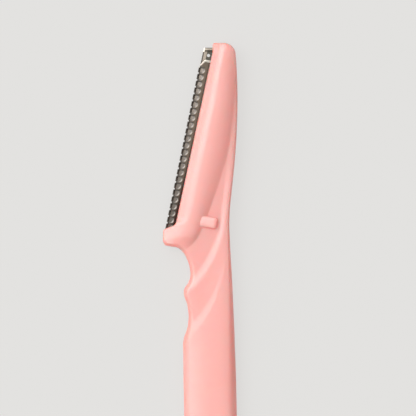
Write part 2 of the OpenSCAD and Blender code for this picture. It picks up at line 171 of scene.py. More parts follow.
def round_corner(before, corner, after, radius, steps=16):
    """Arc of a radius that touches the lines from a corner to the points before and after it. Its
    middle halves the corner's angle and lies the radius over the sine of that half away."""
    before, corner, after = (np.array(p, dtype=float) for p in (before, corner, after))
    u, v = before - corner, after - corner
    u, v = u / np.linalg.norm(u), v / np.linalg.norm(v)
    half = math.acos(u @ v) / 2
    middle = corner + (u + v) / np.linalg.norm(u + v) * radius / math.sin(half)
    first = corner + u * radius / math.tan(half) - middle
    last = corner + v * radius / math.tan(half) - middle
    turn = math.atan2(first[0] * last[1] - first[1] * last[0], first @ last)
    angle = math.atan2(first[1], first[0]) + turn * np.linspace(0, 1, steps + 1)
    return middle + radius * np.stack([np.cos(angle), np.sin(angle)], axis=-1)


print("smooth step at a quarter:", float(smooth_step(0.25)))

# %% The two sides
butt_r = 3.8
tip_r = 1.2
spine_tip_r = 2.0
lobe_h = 3.15
# Shares of the head's length above its foot, and of half the width
spine_shares = [(-1.14, 1), (-0.84, 0.977), (-0.49, 0.904), (-0.19, 0.806), (0.03, 0.713),
    (0.11, 0.692), (0.18, 0.714), (0.28, 0.79), (0.41, 0.892), (0.55, 0.968), (0.69, 1),
    (0.8, 0.993), (0.95, 0.922), (1.01, 0.86)]
# Shares of the grip's length above the head's foot, and of half the width
grip_shares = [(-1.93, 1), (-1.42, 1.008), (-0.92, 1.04), (-0.77, 1.023), (-0.69, 0.902),
    (-0.6, 0.845), (-0.48, 0.909), (-0.4, 1.024), (-0.36, 1.012), (-0.3, 0.842), (-0.24, 0.773),
    (-0.17, 0.815), (-0.1, 0.925), (-0.04, 1.106), (-0.012, 1.27)]


def butt_inset(y):
    """How far the sides draw in over the round corners at the butt: the radius less the height of
    its quarter circle."""
    return butt_r * (1 - quarter_round((y - butt_y) / butt_r))


def tip_inset(y, radius):
    """How far a side draws in over a round corner at the tip, by the same rule as at the butt."""
    return radius * (1 - quarter_round((tip_y - y) / radius))


def spine_x(y):
    """The spine's side of the outline at height y along the razor: half the width times the
    curve's share, less what both corners take."""
    side = half_w * smooth_curve(spine_shares, (y - head_y) / head_len)
    return side - butt_inset(y) - tip_inset(y, spine_tip_r)


def grip_x(y):
    """The blade's side of the handle and the grip, found in the same way."""
    return butt_inset(y) - half_w * smooth_curve(grip_shares, (y - head_y) / grip_len)


def lip_line(y):
    """The lip that lies against the metal: the guard's fold line, moved over by the width that
    shows, which grows from the guard's lower end up to the tip."""
    show = show_low + (show_w - show_low) * (y - edge_y) / (tip_y - edge_y)
    return -edge_reach + show / math.cos(lean) + (y - edge_y) * math.tan(lean)


def lip_x(y):
    """The lip: its line, up to 1.5 radii of the corner under the tip, and upright from there."""
    return np.minimum(lip_line(y), lip_line(tip_y - 1.5 * tip_r))


def rounded_steps(start, length, count, late=False):
    """Places along a quarter circle's foot, at the sines or cosines of even angles: they lie close
    together at its upright end."""
    angle = np.linspace(0, math.pi / 2, count + 1)
    return start + length * (np.sin(angle) if late else 1 - np.cos(angle))


print("half width at the head's foot:", round(float(spine_x(head_y)), 2), "to the spine")

# %% Rows up the outline
neck_y = head_y - grip_len / 80
lobe_low = head_y + lobe_h * 0.05
lobe_high = lobe_low + lobe_h
lip_y = lobe_high + lobe_h * 0.3
neck = (float(grip_x(neck_y)), neck_y)
lobe = [(-lobe_reach, lobe_low), (-lobe_reach, lobe_high)]
lip_foot = [(float(lip_x(y)), y) for y in (lip_y, lip_y + head_len / 2)]
fine_y = head_y - 1.05 * grip_len
handle_row, grip_row, head_row = 1.0, 0.14, 0.3  # distance from row to row
handle_ys = np.concatenate([
    rounded_steps(butt_y, butt_r, 14)[:-1],
    np.arange(butt_y + butt_r, fine_y, handle_row),
    np.arange(fine_y, neck_y, grip_row)])
tip_ys = np.concatenate([
    np.arange(lip_y + 1.4, tip_y - spine_tip_r, head_row),
    rounded_steps(tip_y - spine_tip_r, spine_tip_r, 20, late=True)])
run = np.linspace(0, 1, 15)[1:, None]
arc_low = round_corner(neck, lobe[0], lobe[1], lobe_h / 3)
arc_high = round_corner(lobe[0], lobe[1], lip_foot[0], lobe_h / 4)
arc_lip = round_corner(lobe[1], lip_foot[0], lip_foot[1], lobe_h * 0.4)
blade_side = np.concatenate([
    np.stack([grip_x(handle_ys), handle_ys], axis=-1),
    neck + (arc_low[0] - neck) * run,
    arc_low[1:],
    arc_low[-1] + (arc_high[0] - arc_low[-1]) * run[:-1],
    arc_high,
    arc_high[-1] + (arc_lip[0] - arc_high[-1]) * run[1:-1:2],
    arc_lip,
    np.stack([lip_x(tip_ys) + tip_inset(tip_ys, tip_r) / 4, tip_ys], axis=-1)])
spine_side = np.stack([spine_x(blade_side[:, 1]), blade_side[:, 1]], axis=-1)
print("outline rows:", len(blade_side))
print("each lies over the last:", bool((np.diff(blade_side[:, 1]) > 0).all()))

# %% [markdown]
# ## The form of the front
# The moulding is a little crowned. The head swells up from the lip, over a crest that runs beside
# the blade, and falls to a crease that sweeps from the lobe up to the spine. Below the crease the
# thumb rests in two scoops. Each scoop falls slowly and then climbs fast to a ridge, and both
# ridges sweep up to the spine like the crease does.
# Sculpting could do it, but a height worked out for every point keeps the sweeps smooth.

# %% Sweeps across the front
def sweep(x, foot, end, turn):
    """Height of a line that climbs from its foot on the blade's side to its end on the spine:
    foot plus rise times (1 - turn) q over (1 - turn q), where q runs from 0 to 1 across."""
    q = np.clip((x + half_w) / handle_w, -0.2, 1.1)
    return foot + (end - foot) * (1 - turn) * q / (1 - turn * q)


# Each line's foot, end and turn
crease_line = (head_y - 0.074 * head_len, head_y + 0.737 * head_len, 0.49)
upper_ridge_line = (24.8, 54.6, 0.72)
lower_ridge_line = (15.8, 44.6, 0.71)
# Shares of the head's length above its foot, and of half the width
crease_shares = [(-0.025, -0.98), (0, -0.774), (0.04, -0.52), (0.09, -0.34), (0.163, -0.11),
    (0.249, 0.125), (0.347, 0.368), (0.47, 0.625), (0.569, 0.762), (0.667, 0.857), (0.815, 0.965),
    (0.93, 1.06)]


def crease_x(y):
    """The crease's place across the razor at height y: from the lobe's foot to the spine."""
    return half_w * smooth_curve(crease_shares, (y - head_y) / head_len)


def eased(height, fillet):
    """The height where it is over the fillet's, zero as far below, and between them a parabola:
    (height + fillet) squared over 4 fillets."""
    return np.where(height > fillet, height, np.maximum(height + fillet, 0) ** 2 / (4 * fillet))


crease_at = float(crease_x(head_y + 0.2 * head_len))
print("crease, a fifth up the head:", round(crease_at, 2), "mm from the axis")

# %% The head's swell
head_rise = 1.0
crest_in = 2.95  # from the lip to the crest
crest_share = 0.55  # or this share of the way to the crease, where that is less
crest_shift, crest_from, crest_over = 0.35, 13, 8  # it nears the lip from 13 mm before the tip
crease_power = 2.4
crease_fillet = 0.16
lip_steep, tip_steeper = 1.7, 0.32
lip_bend, lip_fillet = 0.34, 0.31  # where the slope beside the lip begins, and how softly
sink_share, sink_len = 0.42, 22
foot_low, foot_len = 1.2, 3.4  # the swell sets in 1.2 mm under the head's foot


def swell(x, y):
    """The head's height over the handle. From the crest to the crease it falls as the distance to
    the power 2.4, with a fillet at its foot. From the crest to the lip it bends into an even slope,
    steeper towards the tip. The crest sinks a little towards the tip."""
    from_lip = (x - lip_line(y)) * math.cos(lean)
    wide = (crease_x(y) - lip_line(y)) * math.cos(lean)
    to_tip = crest_in - crest_shift * smooth_step((y - tip_y + crest_from) / crest_over)
    crest = np.minimum(to_tip, wide * crest_share)
    sunk = 1 - sink_share * np.clip((y - tip_y + sink_len) / sink_len, 0, 1) ** 2
    rise = head_rise * np.clip(wide / (0.75 * handle_w), 0.55, 1) * sunk
    in_lobe = smooth_step((lip_y + lobe_h * 0.4 - y) / (lobe_h / 2))
    reach = crest + (lobe_reach + lip_line(lip_y)) * in_lobe
    to_crease = np.maximum((from_lip - crest) / np.maximum(wide - crest, 0.5), 0)
    crease_side = rise * eased(1 - to_crease ** crease_power, crease_fillet)
    up_head = smooth_step((y - head_y - 0.29 * head_len) / (0.34 * head_len))
    steep = lip_steep + tip_steeper * up_head
    to_lip = np.clip((crest - from_lip) / reach, 0, 1)
    lip_side = rise - steep * eased(to_lip - lip_bend, lip_fillet)
    height = np.where(from_lip > crest, crease_side, lip_side)
    from_foot = smooth_step((y - head_y + foot_low) / foot_len)
    return np.where(y < head_y - lobe_h, 0, height) * from_foot


print("crest stands", head_rise, "mm over the handle,", crest_in, "mm from the lip")

# %% The finger scoops and the crown
upper_depth, lower_depth = 0.31, 0.23
ridge_from, ridge_len = 0.72, 0.38  # where a scoop climbs to its ridge, in shares of its length
fade_from, fade_len = 3.9, 6  # the lower scoop fades towards the spine
crown_fall = 0.8
spine_power, blade_power = 3.8, 2.4
tip_fall, tip_fall_len = 0.3, 1.8


def scoops(x, y):
    """Depth of the two finger scoops: each grows evenly from the line over it, and a smooth step
    brings it back to nothing just past the ridge under it."""
    crease = sweep(x, *crease_line)
    upper_ridge = sweep(x, *upper_ridge_line)
    lower_ridge = sweep(x, *lower_ridge_line)
    upper = (crease - y) / (crease - upper_ridge)
    lower = (upper_ridge - y) / (upper_ridge - lower_ridge)
    ends = [1 - smooth_step((way - ridge_from) / ridge_len) for way in (upper, lower)]
    fade = smooth_step((fade_from - x) / fade_len)
    upper_scoop = upper_depth * np.clip(upper, 0, 1.1) * ends[0]
    return upper_scoop + lower_depth * fade * np.clip(lower, 0, 1.1) * ends[1]


def front_height(x, y):
    """Height of the front before its edges are rounded: the crown, the swell and the scoops, and a
    gentle fall over the last 1.8 mm before the tip. The crown falls as the distance from the axis
    to the power 3.8 towards the spine and 2.4 towards the blade."""
    left_share = 1 - smooth_step((y - head_y + 0.93 * grip_len) / (0.67 * grip_len))
    side = np.minimum(np.abs(x) / half_w, 1)
    on_head = smooth_step((y - head_y) / (0.3 * head_len))
    spine_side_fall = side ** spine_power * (1 - 0.4 * on_head)
    crown = crown_fall * np.where(x > 0, spine_side_fall, side ** blade_power * left_share)
    crown = crown + tip_fall * np.clip(1 - (tip_y - y) / tip_fall_len, 0, 1) ** 2
    beside_spine = smooth_step((spine_x(y) - 0.7 - x) / 1.2)
    return handle_t - crown + swell(x, y) - scoops(x, y) * beside_spine


mid_height = float(front_height(np.array(0.0), np.array(-30.0)))
print("front at the middle of the handle:", round(mid_height, 2), "mm up")

# %% [markdown]
# ## The rounded edges
# A moulding has no sharp edges, and here each stretch of edge has a rounding of its own: wide on
# the handle, narrower on the grip and the lobe, and fine along the lip and the spine. A Bevel
# modifier could do it, with a weight for each edge. Here the rounding is worked out with the
# height, as a quarter circle over the distance to the outline, so its width can change smoothly.

# %% Rounded edges
edge_round = 1.5
grip_round = 0.9
spine_round = 0.32
back_round = 0.8
lobe_round = 0.65
lip_round = 0.2
tip_round = 0.3
blade_z = 1.9
blade_t = 0.25
foil_t = 0.1
fit_gap = 0.02
guard_half = blade_t / 2 + fit_gap + foil_t
band_low = blade_z - guard_half - fit_gap - foil_t
band_top = blade_z + guard_half + fit_gap + 2 * foil_t


def rounding_here(y):
    """Width of the rounding on the blade's side: the handle's, the grip's, the lobe's and the
    lip's in turn, with a smooth step from each to the next."""
    on_grip = smooth_step((y - head_y + 0.93 * grip_len) / (grip_len / 3))
    grip = edge_round + (grip_round - edge_round) * on_grip
    lobe = grip + (lobe_round - grip) * smooth_step((y - head_y + 1.5) / 1.5)
    return lobe + (lip_round - lobe) * smooth_step(y - lobe_low - 0.3)


def nearest(points, side, widths, window=70):
    """Each point's distance from a side of the outline, as a share of the rounding's width there.
    points is rows x columns x 2, and each row looks at the side's pieces a window up and down."""
    rows = len(side)
    best = np.full(points.shape[:2], np.inf)
    for offset in range(-window, window):
        i = np.clip(np.arange(rows) + offset, 0, rows - 2)
        a, b = side[i][:, None], side[i + 1][:, None]
        t = np.clip(((points - a) * (b - a)).sum(-1) / ((b - a) ** 2).sum(-1), 0, 1)
        gap = np.linalg.norm(points - a - t[..., None] * (b - a), axis=-1)
        best = np.minimum(best, gap / widths[i][:, None])
    return best


def across(left_width, right_width, edge_count, face_count):
    """Places across each row: crowded within the rounded edges, by the cosines of even angles, and
    even between them. No edge takes more than 0.46 of the row."""
    width = spine_side[:, 0] - blade_side[:, 0]
    left = np.minimum(left_width, 0.46 * width)
    right = np.minimum(right_width, 0.46 * width)
    crowd = 1 - np.cos(np.linspace(0, math.pi / 2, edge_count + 1))
    even = np.linspace(0, 1, face_count + 1)[None, 1:-1]
    return np.concatenate([
        blade_side[:, :1] + left[:, None] * crowd,
        blade_side[:, :1] + left[:, None] + (width - left - right)[:, None] * even,
        spine_side[:, :1] - right[:, None] * crowd[::-1]], axis=1)


print("rounding: handle", edge_round, "grip", grip_round, "lobe", lobe_round, "lip", lip_round)

# %% The front of the skin
left_widths = rounding_here(blade_side[:, 1])
fine_from, fine_len = 1.3 * grip_len, 1.3 * grip_len + 0.2 * head_len
up_spine = smooth_step((blade_side[:, 1] - head_y + fine_from) / fine_len)
right_widths = edge_round + (spine_round - edge_round) * up_spine
rows_y = blade_side[:, 1:]
front_x = across(1.2 * left_widths, right_widths, 12, 44)
front = np.stack([front_x, np.broadcast_to(rows_y, front_x.shape)], axis=-1)
ends = quarter_round((rows_y - butt_y) / edge_round) * quarter_round((tip_y - rows_y) / tip_round)
edges = quarter_round(nearest(front, blade_side, left_widths))
edges = edges * quarter_round(nearest(front, spine_side, right_widths))
front_z = band_top + (front_height(front[..., 0], front[..., 1]) - band_top) * edges * ends
print("highest point of the skin:", round(float(front_z.max()), 2), "mm")

# %% The back, and the moulding
back_widths = np.full(len(blade_side), back_round)
back_x = across(back_widths, back_widths, 6, 14)[:, ::-1]
back = np.stack([back_x, np.broadcast_to(rows_y, back_x.shape)], axis=-1)
inset = np.minimum(nearest(back, blade_side, back_widths), nearest(back, spine_side, back_widths))
inset = np.minimum(inset, np.minimum(rows_y - butt_y, tip_y - rows_y) / back_round)
back_z = band_low * (1 - quarter_round(inset))
rings = np.concatenate([np.dstack([front, front_z]), np.dstack([back, back_z])], axis=1)
moulding = closed_tube("razor_moulding", rings, crease=60)
print("moulding:", rings.shape[:2], "rows and columns,", round(volume(moulding)), "cubic mm")

# %% [markdown]
# ## The pocket, the pins and the catch
# The blade, its guard and the clamp bar lie in a pocket cut into the head from behind, and three
# pins with flattened heads hold them. On the front a small raised block catches a cover.
# All of these are one solid with the moulding, so they are cut and joined, not laid on. They could
# be built into the grid of the skin, but a Boolean leaves its rows even.

# %% Joining and cutting solids
def combine(piece, tool, how):
    """Adds a solid to a piece or cuts it away, and takes the tool out of the scene."""
    step = piece.modifiers.new(how, "BOOLEAN")
    step.operation = how
    step.object = tool
    step.solver = "MANIFOLD"
    graph = bpy.context.evaluated_depsgraph_get()
    mesh = bpy.data.meshes.new_from_object(piece.evaluated_get(graph))
    piece.modifiers.clear()
    piece.data = mesh
    bpy.data.objects.remove(tool)
    return piece


print("faces before any cut:", len(moulding.data.polygons))

# %% Beside the edge
def on_edge(points):
    """Moves points from the blade's own frame (across, along the edge, up) into the razor's: a turn
    by the lean, then a move to the lower end of the fold."""
    x, y, z = points[..., 0], points[..., 1], points[..., 2]
    c, s = math.cos(lean), math.sin(lean)
    return np.stack([x * c + y * s - edge_reach, y * c - x * s + edge_y, z + blade_z], axis=-1)


def slab(name, near, far, foot, top, low, high):
    """A slab along the edge, whose top end is cut square to the handle."""
    slant = math.tan(lean)
    corners = [(near, foot), (far, foot), (far, top + far * slant), (near, top + near * slant)]
    rings = np.array([[(x, y, z) for x, y in corners] for z in (low, high)])
    return closed_tube(name, on_edge(rings))


def round_rod(name, x, y, radius, low, high, sides=40):
    """An upright rod beside the edge: a ring of even angles at two heights."""
    angle = np.arange(sides) * 2 * math.pi / sides
    ring = np.stack([x + radius * np.cos(angle), y + radius * np.sin(angle)], axis=-1)
    return closed_tube(name, on_edge(np.array([[(*p, z) for p in ring] for z in (low, high)])))


tip_over = 0.94  # how far the moulding's tip stands past the metal's
edge_len = (tip_y - tip_over - edge_y) / math.cos(lean)
print("edge:", round(edge_len, 2), "mm long")

# %% The pocket
guard_w = 2.75
bar_reach = 5.3
pocket_foot = -foil_t - fit_gap
pocket_top = edge_len + fit_gap
combine(moulding, slab("guard_pocket", -1, guard_w + fit_gap, pocket_foot, pocket_top,
    -blade_z - 1, guard_half + fit_gap), "DIFFERENCE")
combine(moulding, slab("blade_pocket", guard_w, bar_reach + fit_gap, pocket_foot, pocket_top,
    -blade_z - 1, blade_t / 2 + fit_gap), "DIFFERENCE")
print("moulding with pocket:", round(volume(moulding)), "cubic mm")

# %% The pins
pin_in = 3.6
pin_count = 3
pin_r, pin_head_r, pin_head_h = 0.5, 0.85, 0.35
pin_places = [edge_len * (2 * k + 1) / (2 * pin_count) for k in range(pin_count)]
for pin_s in pin_places:
    shank = (pin_head_h / 2 - blade_z, handle_t / 2)
    head = (fit_gap - blade_z, pin_head_h - blade_z)
    combine(moulding, round_rod("pin", pin_in, pin_s, pin_r, *shank), "UNION")
    combine(moulding, round_rod("pin_head", pin_in, pin_s, pin_head_r, *head), "UNION")
print("pins along the edge, mm:", [round(pin_s, 1) for pin_s in pin_places])

# %% The catch
catch_len = 3.85
catch_w = 2.35
catch_top = handle_t + 0.85
catch_place = (-0.65, lip_y + lobe_h * 0.17)
catch_turn = math.radians(-9)
catch_ramp = 0.45
catch_corner = 0.6
catch_side = 0.6  # height of its rounded side
catch_foot = handle_t - 0.8  # it starts inside the moulding, so that the two join


def block_ring(inset, z):
    """Outline of the catch, drawn in by the inset: a rectangle with quarter circles for corners,
    turned a little, and sunk evenly towards one end."""
    r = catch_corner * (1 - inset / (catch_w / 2)) + 0.01
    x, y = catch_len / 2 - inset - r, np.maximum(catch_w / 2 - inset - r, 0)
    angle = np.radians(np.arange(0, 90.1, 15))
    arc = r * np.stack([np.cos(angle), np.sin(angle)], axis=-1)
    turns = [np.array([[c, s], [-s, c]]) for c, s in ((1, 0), (0, 1), (-1, 0), (0, -1))]
    centres = [(x, y), (-x, y), (-x, -y), (x, -y)]
    ring = np.concatenate([arc @ turn + centre for turn, centre in zip(turns, centres)])
    c, s = math.cos(catch_turn), math.sin(catch_turn)
    flat = ring @ np.array([[c, s], [-s, c]]) + catch_place
    ramp = catch_ramp * (ring[:, 0] / catch_len - 0.5)
    return np.column_stack([flat, z + ramp])


def block_height(t):
    """Height of the catch's side, t of the way in: a quarter circle made fuller by using the
    power 3 for the square."""
    return catch_top - catch_side * (1 - (1 - (1 - t) ** 3) ** (1 / 3))


insets = 1 - np.cos(np.linspace(0, math.pi / 2, 16))[:-1]
block = [block_ring(0, catch_foot)]
block += [block_ring(t * catch_w / 2, block_height(t)) for t in insets]
combine(moulding, closed_tube("catch", np.array(block)), "UNION")
smooth_faces(moulding.data, 50)
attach(moulding, "root")
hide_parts("handle")
print("finished moulding:", len(moulding.data.polygons), "faces")

# %% [markdown]
# ## The blade
# A strip of hardened steel, ground to an edge on both sides. Most of it is hidden: what shows is
# the bare tip above the guard, with its narrow honed facet, its wide ground bevel, a chamfered
# end and a round hole. A box with bevelled edges would round the cutting edge off. Here the strip
# is a grid, across and along, whose thickness is worked out, so the edge stays sharp.

# %% The blade's strip
blade_w = 4.4
edge_in = 0.2  # from the guard's fold to the cutting edge
bevel_w = 0.8
hone_w = 0.22
blade_foot = -foil_t
bevel_lead = 0.12  # the bevel's plane would meet its twin this far past the edge
hone_half, hone_slope = 0.005, 0.19
end_half, end_slope = 0.04, 0.22


def blade_half(x, left):
    """Half the thickness at x from the fold and at a distance left from the end. The least of the
    body, the ground bevel, the steeper honed facet and the end's chamfer."""
    bevel = blade_t / 2 * (x - edge_in + bevel_lead) / (bevel_w + bevel_lead)
    facet = hone_half + hone_slope * (x - edge_in)
    chamfer = end_half + end_slope * left
    return np.minimum(np.minimum(blade_t / 2, bevel), np.minimum(facet, chamfer))


blade_x = edge_in + np.concatenate([
    np.linspace(0, 0.16, 5)[:-1],
    np.linspace(0.16, bevel_w, 9)[:-1],
    np.linspace(bevel_w, blade_w - edge_in, 16)])
blade_v = np.concatenate([np.linspace(0, 0.98, 60)[:-1], np.linspace(0.98, 1, 14)])[:, None]
blade_end = edge_len + blade_x * math.tan(lean)
blade_s = blade_foot + (blade_end - blade_foot) * blade_v
half = blade_half(blade_x, blade_end - blade_s)
wide_x = np.broadcast_to(blade_x, blade_s.shape)
upper = np.stack([wide_x, blade_s, half], axis=-1)
lower = np.stack([wide_x, blade_s, -half], axis=-1)[:, ::-1]
blade = closed_tube("blade_strip", on_edge(np.concatenate([upper, lower], axis=1)), crease=4)
print("blade's strip:", round(volume(blade), 2), "cubic mm")

# %% The blade's holes
pin_hole_r = 0.52
tip_hole_in, tip_hole_s, tip_hole_r = 1.41, edge_len - 1.3, 0.32
for pin_s in pin_places:
    combine(blade, round_rod("pin_hole", pin_in, pin_s, pin_hole_r, -1, 1), "DIFFERENCE")
combine(blade, round_rod("tip_hole", tip_hole_in, tip_hole_s, tip_hole_r, -1, 1), "DIFFERENCE")
smooth_faces(blade.data, 4)
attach(blade, "root")
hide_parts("blade")
print("blade:", len(blade.data.polygons), "faces,", round(volume(blade), 2), "cubic mm")

# %% [markdown]
# ## The guard
# A strip of foil, a tenth of a millimetre thick, folded over the edge. A press punches a window
# in each tooth and draws the metal round it down to the blade, so that each window sits in a
# shallow dish, and slits part the teeth. The strip is a grid: round the fold one way, along the
# edge the other. The dishes are pressed by moving its points along their normals, and only then
# are the windows and the slits cut, because a cut edge would not follow a dish. A strip bent by
# modifiers could do it too, but here each tooth is a named pitch away from the next.

# %% The guard's press
tooth_pitch = 1.39
tooth_first = 0.4
window_in = 0.7
window_r = 0.42
dish_r = 0.66
dish_depth = 0.1
bare_tip = 2.45  # length of blade that the guard leaves bare
guard_len = edge_len - bare_tip
teeth = 24
end_over = 0.22  # how far the strip runs past that length, apart from its corner
corner_w, corner_slope, corner_soft = 1.05, 1.6, 0.12
bead_in, bead_half, bead_h = 0.2, 0.15, 0.07
bead_reach, bead_fade = 1.95, 0.2


def guard_end(x):
    """Where the strip ends, at x from the fold: level, with the corner at the fold cut off. The
    cut is the slope times the square of what is left of the corner, over that and 0.12."""
    left = np.maximum(corner_w - x, 0)
    return guard_len + end_over - corner_slope * left ** 2 / (left + corner_soft)


def pressed(x, s):
    """Depth pressed into the foil: a dish round each window, by a smooth step over the distance
    from its middle, and a raised bead along the end, shaped as a bell."""
    k = np.clip(np.round((s - tooth_first) / tooth_pitch), 0, teeth - 1)
    r = np.hypot(x - window_in, s - tooth_first - k * tooth_pitch)
    bead = np.exp(-((guard_end(x) - s - bead_in) / bead_half) ** 2)
    bead = bead * smooth_step((bead_reach - x) / bead_fade)
    return dish_depth * smooth_step((dish_r - r) / (dish_r - window_r)) - bead_h * bead


print("guard:", round(guard_len, 2), "mm long,", teeth, "teeth")

# %% The folded strip
dish_end = 1.35  # the dishes lie between the fold and here, so the columns are close there
flat_x = np.concatenate([
    np.linspace(guard_half, dish_end, 24)[:-1],
    np.linspace(dish_end, guard_w, 10)])
turn = np.linspace(-90, -270, 13)[1:-1] * math.pi / 180
fold_x = np.concatenate([flat_x[::-1], guard_half + guard_half * np.cos(turn), flat_x])
flats = len(flat_x)
normal_x = np.concatenate([np.zeros(flats), np.cos(turn), np.zeros(flats)])
normal_z = np.concatenate([-np.ones(flats), np.sin(turn), np.ones(flats)])
fold_z = guard_half * normal_z
along_s = np.linspace(blade_foot, guard_len, 380)[:, None]
straight = guard_len - 1.5
stretch = (along_s - straight) * (guard_end(fold_x) - straight) / (guard_len - straight)
guard_s = np.where(along_s < straight, along_s, straight + stretch)
push = -pressed(fold_x, guard_s)
outer = np.stack([fold_x + normal_x * push, guard_s, fold_z + normal_z * push], axis=-1)
push = push - foil_t
inner = np.stack([fold_x + normal_x * push, guard_s, fold_z + normal_z * push], axis=-1)[:, ::-1]
rings = on_edge(np.concatenate([outer, inner], axis=1))
cols = rings.shape[1]
caps = []
for first, flip in ((0, 1), ((len(along_s) - 1) * cols, -1)):
    for k in range(cols // 2 - 1):
        caps.append([first + v for v in (k, cols - 1 - k, cols - 2 - k, k + 1)][::flip])
guard = new_piece("guard_foil", rings.reshape(-1, 3), tube_faces(len(along_s), cols) + caps)
print("guard's strip:", round(volume(guard), 2), "cubic mm")

# %% Windows and slits
slit_w = 0.34
slit_in = 0.42


def many(name, tubes):
    """One object made of several separate tubes, each a pair of rings."""
    points, faces, first = [], [], 0
    for rings in tubes:
        cols = rings.shape[1]
        faces += (np.array(tube_faces(2, cols)) + first).tolist()
        caps = np.arange(first, first + 2 * cols).reshape(2, cols).tolist()
        faces += [caps[0][::-1], caps[1]]
        points.append(rings.reshape(-1, 3))
        first += 2 * cols
    return new_piece(name, np.concatenate(points), faces)


angle = np.arange(20) * 2 * math.pi / 20
window = np.stack([window_in + window_r * np.cos(angle), window_r * np.sin(angle)], axis=-1)
shoulder = slit_in - slit_w / 3
slit = np.array([(-1, -slit_w / 2), (shoulder, -slit_w / 2), (slit_in, 0),
    (shoulder, slit_w / 2), (-1, slit_w / 2)])
cutters = []
for k in range(teeth):
    window_s = tooth_first + k * tooth_pitch
    for outline, s in ((window, window_s), (slit, window_s + tooth_pitch / 2)):
        tube = np.array([[(x, y + s, z) for x, y in outline] for z in (-1.5, 1.5)])
        cutters.append(on_edge(tube))
combine(guard, many("punches", cutters), "DIFFERENCE")
smooth_faces(guard.data, 35)
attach(guard, "root")
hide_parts("blade_guard")
print("guard:", len(guard.data.polygons), "faces,", round(volume(guard), 2), "cubic mm")

# %% [markdown]
# ## Finishes
# Three finishes cover the razor: the satin plastic of the moulding and the clamp bar, the ground
# steel of the blade and the punched foil of the guard. A picture could be laid over each, but it
# would bring its own light along. So each starts from what the real surface is, and its patterns
# are worked out from places on the piece, in millimetres. On the steel and the foil, some
# highlights and shade are painted into the colours as well.

# %% Colours and nodes
def from_hex(code):
    """Turns an sRGB hex colour into the linear one that Blender's sockets take: a power of 2.4 over
    0.04045, and the value over 12.92 below it."""
    parts = np.array([int(code[i:i + 2], 16) for i in (1, 3, 5)]) / 255
    linear = np.where(parts <= 0.04045, parts / 12.92, ((parts + 0.055) / 1.055) ** 2.4)
    return (*linear.tolist(), 1.0)


def add_node(tree, kind, inputs=None, **settings):
    """Adds a node. Settings are its own options. Inputs gives its sockets values or links: a link
    is another node's socket, or a node, which stands for its first output in use."""
    node = tree.nodes.new("ShaderNode" + kind)
    for name, value in settings.items():
        setattr(node, name, value)
    for name, value in (inputs or {}).items():
        if isinstance(value, bpy.types.Node):
            value = next(socket for socket in value.outputs if socket.enabled)
        if isinstance(value, bpy.types.NodeSocket):
            tree.links.new(value, node.inputs[name])
        else:
            node.inputs[name].default_value = value
    return node


def new_finish(name):
    """A material with an empty node tree and its output."""
    material = bpy.data.materials.new(name)
    material.use_nodes = True
    material.node_tree.nodes.clear()
    return material, material.node_tree, add_node(material.node_tree, "OutputMaterial")


print("middle grey, #808080, is", round(from_hex("#808080")[0], 3), "in linear light")

# %% [markdown]
# ## The plastic
# The moulding is injection-moulded polystyrene. Light sinks a little way into it, red further than
# green and blue, which softens the shade and warms it. The mould's grain gives it a satin look. A
# plain plastic has an IOR near 1.5. Here it is 2.7, because the real one has a stronger, whiter
# sheen, as flakes of a pearl pigment would give. A coat over it could do that as well, but one
# layer is simpler to match. A faint cloud keeps the colour from being quite even.

# %% Satin polystyrene with a pearl pigment
# The real grain is finer than the render can show, so it is drawn 0.25 mm wide.
grain_w = 0.25 * MM
cloud_w = 12 * MM
plastic, tree, out = new_finish("satin_polystyrene")
place = add_node(tree, "TexCoord")
grain = add_node(tree, "TexNoise",
    {"Vector": place.outputs["Object"], "Scale": 1 / grain_w, "Detail": 2})
cloud = add_node(tree, "TexNoise",
    {"Vector": place.outputs["Object"], "Scale": 1 / cloud_w, "Detail": 1})
tint = add_node(tree, "Mix", {"Factor": cloud, "A": from_hex("#F2A095"), "B": from_hex("#EF9A8E")},
    data_type="RGBA")
gloss = add_node(tree, "MapRange", {"Value": grain, "To Min": 0.44, "To Max": 0.52})
relief = add_node(tree, "Bump", {"Height": grain, "Strength": 0.06, "Distance": 0.02 * MM})
skin_shader = add_node(tree, "BsdfPrincipled", {"Base Color": tint, "Roughness": gloss,
    "Normal": relief, "IOR": 2.7, "Subsurface Weight": 1.0,
    "Subsurface Radius": (1.0, 0.12, 0.08), "Subsurface Scale": 3.0 * MM})
tree.links.new(skin_shader.outputs["BSDF"], out.inputs["Surface"])
print(plastic.name, "has", len(tree.nodes), "nodes")

# %% [markdown]
# ## The steel
# The blade is rolled steel, ground to a bevel and honed to an edge. The lines of the grinding are
# far too fine to show, but each surface has its own tone: the honed facet is dark, the bevel pale
# and the flat in between. Under the guard the steel is made paler from 0.8 mm inwards, and darker
# all over, most towards the lower end. At its own end the chamfer is painted pale as a highlight,
# between a thin grey rim and a dark band, and a painted glint makes the corner brightest. An image
# texture would need a UV map and be less sharp, so ramps and spans over a distance in the blade's
# own frame draw these.

# %% The blade's own frame
def edge_frame(tree):
    """Adds the nodes that turn Object coordinates into millimetres from the fold's lower end, by a
    turn and a move. Gives the place, and how far it lies inwards and upwards of there."""
    c, s = math.cos(lean), math.sin(lean)
    place = add_node(tree, "Mapping", {"Vector": add_node(tree, "TexCoord").outputs["Object"],
        "Location": (edge_reach * c + edge_y * s, edge_reach * s - edge_y * c, -blade_z),
        "Rotation": (0, 0, lean), "Scale": (1 / MM, 1 / MM, 1 / MM)})
    split = add_node(tree, "SeparateXYZ", {"Vector": place})
    return place, split.outputs["X"], split.outputs["Y"]


print("the frame is turned by", round(math.degrees(lean), 2), "degrees")

